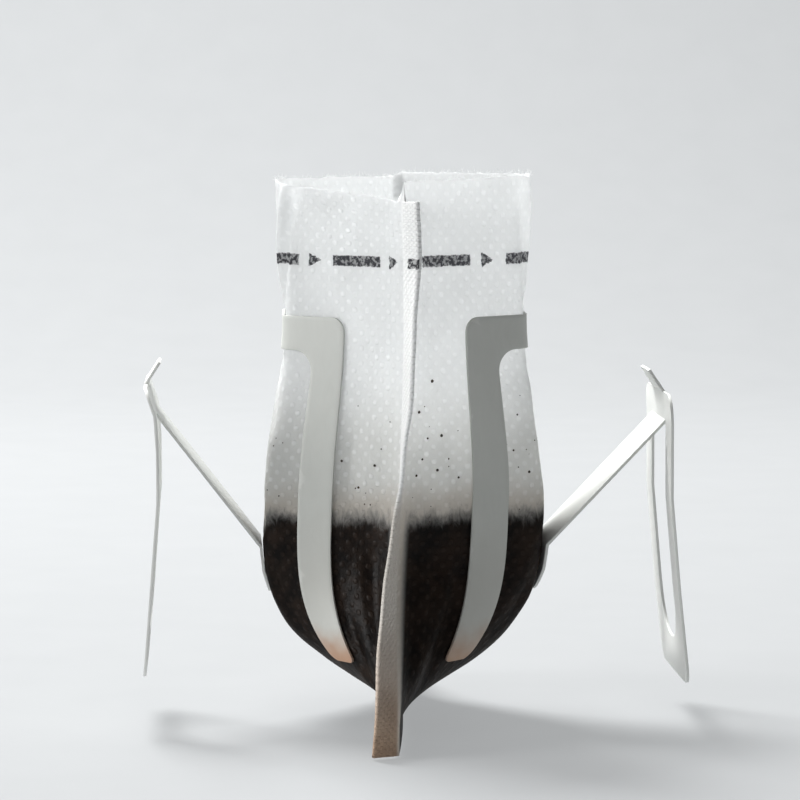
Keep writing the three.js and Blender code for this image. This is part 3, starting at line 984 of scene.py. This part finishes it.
def filter_pouch(material):
    heights = np.concatenate([
        np.linspace(POUCH_BOTTOM, SEAL_TOP, SEAL_LEVELS),
        np.arange(SEAL_TOP + LEVEL_STEP, POUCH_TOP - FINE_TEAR_BAND, LEVEL_STEP),
        np.linspace(POUCH_TOP - FINE_TEAR_BAND, POUCH_TOP, TEAR_LEVELS),
    ])
    arcs = np.linspace(FACE_HALF, -FACE_HALF, FACE_POINTS)
    inner_arcs = np.linspace(FACE_HALF - INNER_SEAM_INSET, INNER_SEAM_INSET - FACE_HALF, FACE_POINTS)
    inner_heights = heights[heights > SEAL_TOP]
    levels = len(heights)
    inner_levels = len(inner_heights)
    outer = outer_rings(arcs, heights).reshape(-1, 3)
    inner = inner_rings(inner_arcs, inner_heights).reshape(-1, 3)
    points = np.concatenate([outer, inner])
    piece = new_piece("filter_cloth", points, pouch_faces(levels, inner_levels), material)

    across, fins, sides = sheet_columns(arcs)
    inner_across = np.concatenate([sheet_place(RIGHT, inner_arcs), sheet_place(LEFT, -inner_arcs)])
    inner_sides = np.repeat([RIGHT, LEFT], FACE_POINTS)
    all_across = np.concatenate([np.tile(across, levels), np.tile(inner_across, inner_levels)])
    rise = np.concatenate([np.repeat(heights, AROUND), np.repeat(inner_heights, INNER_AROUND)])
    add_cloth_map(piece, all_across, rise)
    add_values(piece, "fin", np.concatenate([np.tile(fins, levels), np.zeros(len(inner))]))
    add_values(piece, "side", np.concatenate([np.tile(sides, levels), np.tile(inner_sides, inner_levels)]))
    add_values(piece, "inside", np.concatenate([np.zeros(len(outer)), np.ones(len(inner))]))
    return piece


# Small grains and fibres

def scatter_tree(name, item_kind, item_sockets, tilt, on_faces=False):
    """Puts a small item on each point, or all over the faces, each with its own turn and size."""
    tree = bpy.data.node_groups.new(name, "GeometryNodeTree")
    face = tree.interface
    face.new_socket("Geometry", in_out="INPUT", socket_type="NodeSocketGeometry")
    for label, kind in [
        ("Smallest", "NodeSocketFloat"),
        ("Largest", "NodeSocketFloat"),
        ("Density", "NodeSocketFloat"),
        ("Seed", "NodeSocketInt"),
        ("Material", "NodeSocketMaterial"),
    ]:
        face.new_socket(label, in_out="INPUT", socket_type=kind)
    face.new_socket("Geometry", in_out="OUTPUT", socket_type="NodeSocketGeometry")

    def node(kind, sockets, settings=None):
        made = tree.nodes.new(kind)
        for key, setting in (settings or {}).items():
            setattr(made, key, setting)
        for key, value in sockets.items():
            if isinstance(value, bpy.types.NodeSocket):
                tree.links.new(value, made.inputs[key])
            else:
                made.inputs[key].default_value = value
        return made

    given = node("NodeGroupInput", {}).outputs
    item = node(item_kind, item_sockets)
    turns = {0: (-tilt, -tilt, 0), 1: (tilt, tilt, 2 * math.pi), "Seed": given["Seed"]}
    spin = node("FunctionNodeRandomValue", turns, {"data_type": "FLOAT_VECTOR"})
    sizes = {2: given["Smallest"], 3: given["Largest"], "Seed": given["Seed"]}
    size = node("FunctionNodeRandomValue", sizes, {"data_type": "FLOAT"})
    points = given["Geometry"]
    if on_faces:
        spread = {"Mesh": points, "Density": given["Density"], "Seed": given["Seed"]}
        points = node("GeometryNodeDistributePointsOnFaces", spread).outputs["Points"]
    placed = node("GeometryNodeInstanceOnPoints", {
        "Points": points,
        "Instance": item.outputs["Mesh"],
        "Rotation": spin.outputs[0],
        "Scale": size.outputs[1],
    })
    real = node("GeometryNodeRealizeInstances", {"Geometry": placed.outputs[0]})
    finished = {"Geometry": real.outputs[0], "Material": given["Material"]}
    done = node("GeometryNodeSetMaterial", finished)
    node("NodeGroupOutput", {"Geometry": done.outputs[0]})
    return tree


def scattered(name, points, tree, material, sizes, seed, faces=(), density=0):
    piece = mesh_object(name, points, faces)
    modifier = piece.modifiers.new("scatter", "NODES")
    modifier.node_group = tree
    values = {
        "Smallest": sizes[0],
        "Largest": sizes[1],
        "Density": density,
        "Seed": seed,
        "Material": material,
    }
    for entry in tree.interface.items_tree:
        if entry.item_type == "SOCKET" and entry.in_out == "INPUT" and entry.name in values:
            modifier[entry.identifier] = values[entry.name]
    return applied(piece)


# Grains seen on the cloth, as across the sheet from the near seam, height and size.
SPECKS = [
    (6.2, 11.7, 1.1), (17.2, 9.2, 1.2), (3.4, 6.9, 1.0), (18.4, 5.3, 0.7), (21.4, 5.5, 0.7),
    (7.6, 2.9, 1.1), (5.0, 2.6, 0.7), (17.6, 1.5, 0.8), (18.8, 0.8, 0.7), (20.0, -0.2, 0.7),
    (18.6, -1.0, 0.7), (4.1, -0.8, 0.8), (-11.6, -1.4, 0.8), (-5.4, -1.8, 0.9), (6.6, -2.6, 1.0),
    (8.8, -1.0, 0.6), (3.0, -3.4, 0.9), (10.6, -4.2, 0.8), (-8.4, -5.6, 0.8), (22.4, -3.8, 0.9),
]
SPECK_RADIUS = 0.26 * MM
SPECK_SMALLEST = 0.9
DUST_COUNT = 46
DUST_SIZES = (0.25, 0.5)
DUST_ACROSS = (2, 27)
DUST_RISE = (-9, 10)
DUST_FALL = 1.5
BARE_COVER = 0.1
FIBRE_COUNT = 330
FIBRE_SPREAD = 0.06
FIBRE_SIZES = (0.35, 1.25)
FIBRE_SHAPE = {"Vertices": 3, "Radius Top": 0.012 * MM, "Radius Bottom": 0.03 * MM, "Depth": 0.8 * MM}


def cloth_places(spots):
    """Points on the outside of the cloth at places on the sheet."""
    points = []
    for across, height, *_ in spots:
        side = RIGHT if across > 0 else LEFT
        arc = np.array([FACE_HALF - abs(across)])
        rise = np.array([float(height)])
        lift = CLOTH_HALF_THICKNESS + wrinkle(side, arc, rise)
        points.append(offset_points(side, arc, rise, lift)[0])
    return points


def is_bare(spot):
    """Whether a place on the sheet has no card over it."""
    covered, _ = card_cover(np.array([FACE_HALF - abs(spot[0])]), np.array([spot[1]]))
    return covered[0] < BARE_COVER


def coffee_specks(material):
    speck = {"Radius": SPECK_RADIUS, "Subdivisions": 2}
    tree = scatter_tree("specks", "GeometryNodeMeshIcoSphere", speck, tilt=3)
    parts = []
    for size in sorted({spot[2] for spot in SPECKS}):
        places = cloth_places([spot for spot in SPECKS if spot[2] == size])
        sizes = (size * SPECK_SMALLEST, size)
        parts.append(scattered(f"speck_{size:.1f}", places, tree, material, sizes, seed=4))
    draw = np.random.default_rng(7)
    dust = []
    for _ in range(DUST_COUNT):
        across = draw.uniform(*DUST_ACROSS) * draw.choice([RIGHT, RIGHT, LEFT])
        dust.append((across, draw.uniform(*DUST_RISE) - draw.exponential(DUST_FALL)))
    places = cloth_places([spot for spot in dust if is_bare(spot)])
    piece = scattered("coffee_specks", places, tree, material, DUST_SIZES, seed=9)
    return joined(piece, parts)


def edge_fibres(material):
    """Loose fibres that stand up from the torn edge."""
    tree = scatter_tree("torn_fibres", "GeometryNodeMeshCone", FIBRE_SHAPE, tilt=1.1)
    points = []
    draw = np.random.default_rng(12)
    for side in (LEFT, RIGHT):
        arcs = draw.uniform(-FACE_HALF, FACE_HALF, FIBRE_COUNT)
        row = face_grid(side, np.sort(arcs), np.array([float(POUCH_TOP)]), 0)[0]
        points.extend(row + draw.normal(0, FIBRE_SPREAD, row.shape))
    return scattered("torn_fibres", points, tree, material, FIBRE_SIZES, seed=3)


# Card frames

FOOT_POINTS = 6
LEG_POINTS = 60
SHOULDER_POINTS = 8
CORNER_POINTS = 9
BAR_POINTS = 40
CARD_COLUMNS = 9


def frame_stations():
    """Pairs of a point on the window's edge and one on the outer edge, as arc and height."""
    window_top = FRAME_TOP - FRAME_BAR_HEIGHT
    corner_start = window_top - FRAME_INNER_RADIUS
    corner_arc = WINDOW_HALF - FRAME_INNER_RADIUS
    half = []
    for turn in np.linspace(0, math.pi / 2, FOOT_POINTS):
        inset = FRAME_FOOT_RADIUS * (1 - math.sin(turn))
        height = FRAME_BOTTOM + FRAME_FOOT_RADIUS * (1 - math.cos(turn))
        half.append((WINDOW_HALF + inset, height, FRAME_HALF - inset, height))
    for height in np.linspace(FRAME_BOTTOM + FRAME_FOOT_RADIUS, corner_start, LEG_POINTS)[1:]:
        half.append((WINDOW_HALF, height, FRAME_HALF, height))
    round_arc = FRAME_HALF - FRAME_OUTER_RADIUS
    round_height = FRAME_TOP - FRAME_OUTER_RADIUS
    outer = [
        (FRAME_HALF, height)
        for height in np.linspace(corner_start, round_height, SHOULDER_POINTS)[1:]
    ]
    for turn in np.linspace(0, math.pi / 2, CORNER_POINTS)[1:]:
        arc = round_arc + FRAME_OUTER_RADIUS * math.cos(turn)
        outer.append((arc, round_height + FRAME_OUTER_RADIUS * math.sin(turn)))
    outer += [(arc, FRAME_TOP) for arc in np.linspace(round_arc, corner_arc, CORNER_POINTS)[1:]]
    for i, (arc, height) in enumerate(outer):
        turn = math.pi / 2 * (i + 1) / len(outer)
        inner_arc = corner_arc + FRAME_INNER_RADIUS * math.cos(turn)
        inner_height = corner_start + FRAME_INNER_RADIUS * math.sin(turn)
        half.append((inner_arc, inner_height, arc, height))
    bar_arcs = np.linspace(corner_arc, -corner_arc, BAR_POINTS)[1:-1]
    bar = [(arc, window_top, arc, FRAME_TOP) for arc in bar_arcs]
    mirrored = [(-a, b, -c, d) for a, b, c, d in reversed(half)]
    return np.array(half + bar + mirrored)


def card_frame(side, name, material):
    """A strip of card bent round the face of the pouch that it is glued on."""
    stations = frame_stations()
    shares = np.linspace(0, 1, CARD_COLUMNS)
    arcs = stations[:, 0:1] * (1 - shares) + stations[:, 2:3] * shares
    heights = stations[:, 1:2] * (1 - shares) + stations[:, 3:4] * shares
    back_distance = CLOTH_HALF_THICKNESS + GLUE_GAP
    back = offset_points(side, arcs, heights, back_distance)
    front = offset_points(side, arcs, heights, back_distance + CARD_THICKNESS)
    rings = np.concatenate([back, front[:, ::-1]], axis=1)
    levels, count = rings.shape[:2]
    faces = tube_faces(0, levels, count) + tube_ends(levels, count)
    return round_edges(new_piece(name, rings.reshape(-1, 3), faces, material), FRAME_EDGE_RADIUS)


# Hanging ears

def card_ear(node, name, material):
    """The ear's own solid with its edges rounded."""
    mesh = bpy.data.objects[node].data.copy()
    mesh.name = name
    piece = bpy.data.objects.new(name, mesh)
    bpy.context.scene.collection.objects.link(piece)
    work = bmesh.new()
    work.from_mesh(mesh)
    bmesh.ops.remove_doubles(work, verts=work.verts, dist=MERGE_DISTANCE)
    flat = math.radians(FLAT_ANGLE)
    bmesh.ops.dissolve_limit(work, angle_limit=flat, verts=work.verts, edges=work.edges)
    work.to_mesh(mesh)
    work.free()
    mesh.materials.clear()
    mesh.materials.append(material)
    mesh.shade_smooth()
    return round_edges(piece, EAR_EDGE_RADIUS)


# Coffee grounds

GROUNDS_LEVELS = 40
GROUNDS_COLUMNS = 60
TOP_RINGS = 26
SMALLEST_RING = 0.04
RINGS_WITHOUT_GRAINS = 3
SMOOTH_RIM_SHARE = 0.1
LUMP_SIZE = 4.0
CRUMB_SIZE = 1.3
GRAIN_RADIUS = 0.4 * MM
GRAIN_SIZES = (0.4, 1.5)
GRAINS_PER_SQUARE_METRE = 1.5e6


def grounds_wall(side, arcs, heights):
    arc_grid, height_grid = np.meshgrid(arcs, heights)
    depth = wrinkle(side, arc_grid, height_grid) - GROUNDS_INSET
    return offset_points(side, arc_grid, height_grid, depth)


def coffee_grounds(material):
    """The mass that fills the pouch, with a lumpy hollow top and loose grains on it."""
    heights = np.linspace(SEAL_TOP + GROUNDS_FOOT, GROUNDS_TOP, GROUNDS_LEVELS)
    edge = FACE_HALF - GROUNDS_SEAM_INSET
    arcs = np.linspace(edge, -edge, GROUNDS_COLUMNS)
    sides = [grounds_wall(RIGHT, arcs, heights), grounds_wall(LEFT, -arcs, heights)]
    rings = list(np.concatenate(sides, axis=1))
    rim = rings[-1]
    centre = rim.mean(axis=0)
    for share in np.linspace(1, SMALLEST_RING, TOP_RINGS)[1:]:
        ring = centre + (rim - centre) * share
        lumps = np.array([noise.noise(Vector(point / LUMP_SIZE)) for point in ring])
        crumbs = np.array([noise.noise(Vector(point / CRUMB_SIZE)) for point in ring])
        fall = GROUNDS_CRATER * (1 - share ** 2)
        rough = lumps * GROUNDS_LUMP + crumbs * GROUNDS_CRUMB
        ring[:, 2] = GROUNDS_TOP - fall + rough * smooth(1 - share, 0, SMOOTH_RIM_SHARE)
        rings.append(ring)
    count = len(rim)
    rings = np.array(rings)
    faces = tube_faces(0, len(rings), count) + tube_ends(len(rings), count)
    piece = new_piece("wet_grounds", rings.reshape(-1, 3), faces, material)

    top = rings[len(heights):-RINGS_WITHOUT_GRAINS]
    top_faces = tube_faces(0, len(top), count)
    grain = {"Radius": GRAIN_RADIUS, "Subdivisions": 1}
    tree = scatter_tree("grains", "GeometryNodeMeshIcoSphere", grain, tilt=3, on_faces=True)
    grains = scattered(
        "grains", top.reshape(-1, 3), tree, material, GRAIN_SIZES, seed=5,
        faces=top_faces, density=GRAINS_PER_SQUARE_METRE,
    )
    return joined(piece, [grains])


# Stage, in millimetres

FLOOR_GAP = 0.4
STAGE_FRONT = -900
STAGE_BACK = 900
STAGE_TOP = 1500
STAGE_HALF_WIDTH = 1600
STAGE_BEND = 350
STAGE_BEND_POINTS = 24


def backdrop(material):
    """A floor that bends up into a wall behind."""
    floor_height = cad_low.z / MM - FLOOR_GAP
    bend_start = STAGE_BACK - STAGE_BEND
    profile = [(STAGE_FRONT, floor_height), (bend_start, floor_height)]
    for turn in np.linspace(0, math.pi / 2, STAGE_BEND_POINTS)[1:]:
        y = bend_start + STAGE_BEND * math.sin(turn)
        profile.append((y, floor_height + STAGE_BEND * (1 - math.cos(turn))))
    profile.append((STAGE_BACK, STAGE_TOP))
    points = [(x, y, z) for y, z in profile for x in (-STAGE_HALF_WIDTH, STAGE_HALF_WIDTH)]
    faces = [(2 * i, 2 * i + 1, 2 * i + 3, 2 * i + 2) for i in range(len(profile) - 1)]
    new_piece("backdrop", points, faces, material)


make_camera()

cloth_material = filter_cloth()
# The frames' card carries painted shade in its darker grey
frame_material = card("frame_card", FRAME_STAIN_HEIGHT, FRAME_CARD_SHADED)
ear_material = card("ear_card", EAR_STAIN_HEIGHT, EAR_CARD)
coffee_material = wet_coffee()

pouch = joined(filter_pouch(cloth_material), [edge_fibres(loose_fibre())])
grounds = coffee_grounds(coffee_material)
left_frame = card_frame(LEFT, "frame_card_left", frame_material)
right_frame = card_frame(RIGHT, "frame_card_right", frame_material)
left_ear = card_ear("hanging_ear_left", "ear_card_left", ear_material)
right_ear = card_ear("hanging_ear_right", "ear_card_right", ear_material)
specks = coffee_specks(coffee_material)
backdrop(studio_paper())

for piece, node, slot in [
    (pouch, "filter_pouch", "filter_cloth"),
    (grounds, "coffee_grounds", "wet_coffee"),
    (left_frame, "card_frame_left", "white_card"),
    (right_frame, "card_frame_right", "white_card"),
    (left_ear, "hanging_ear_left", "white_card"),
    (right_ear, "hanging_ear_right", "white_card"),
]:
    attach(piece, "root")
    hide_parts(node)
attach(specks, "root")

for light in LIGHTS:
    make_light(*light)
pale_world()
bpy.context.scene.view_settings.view_transform = "Standard"
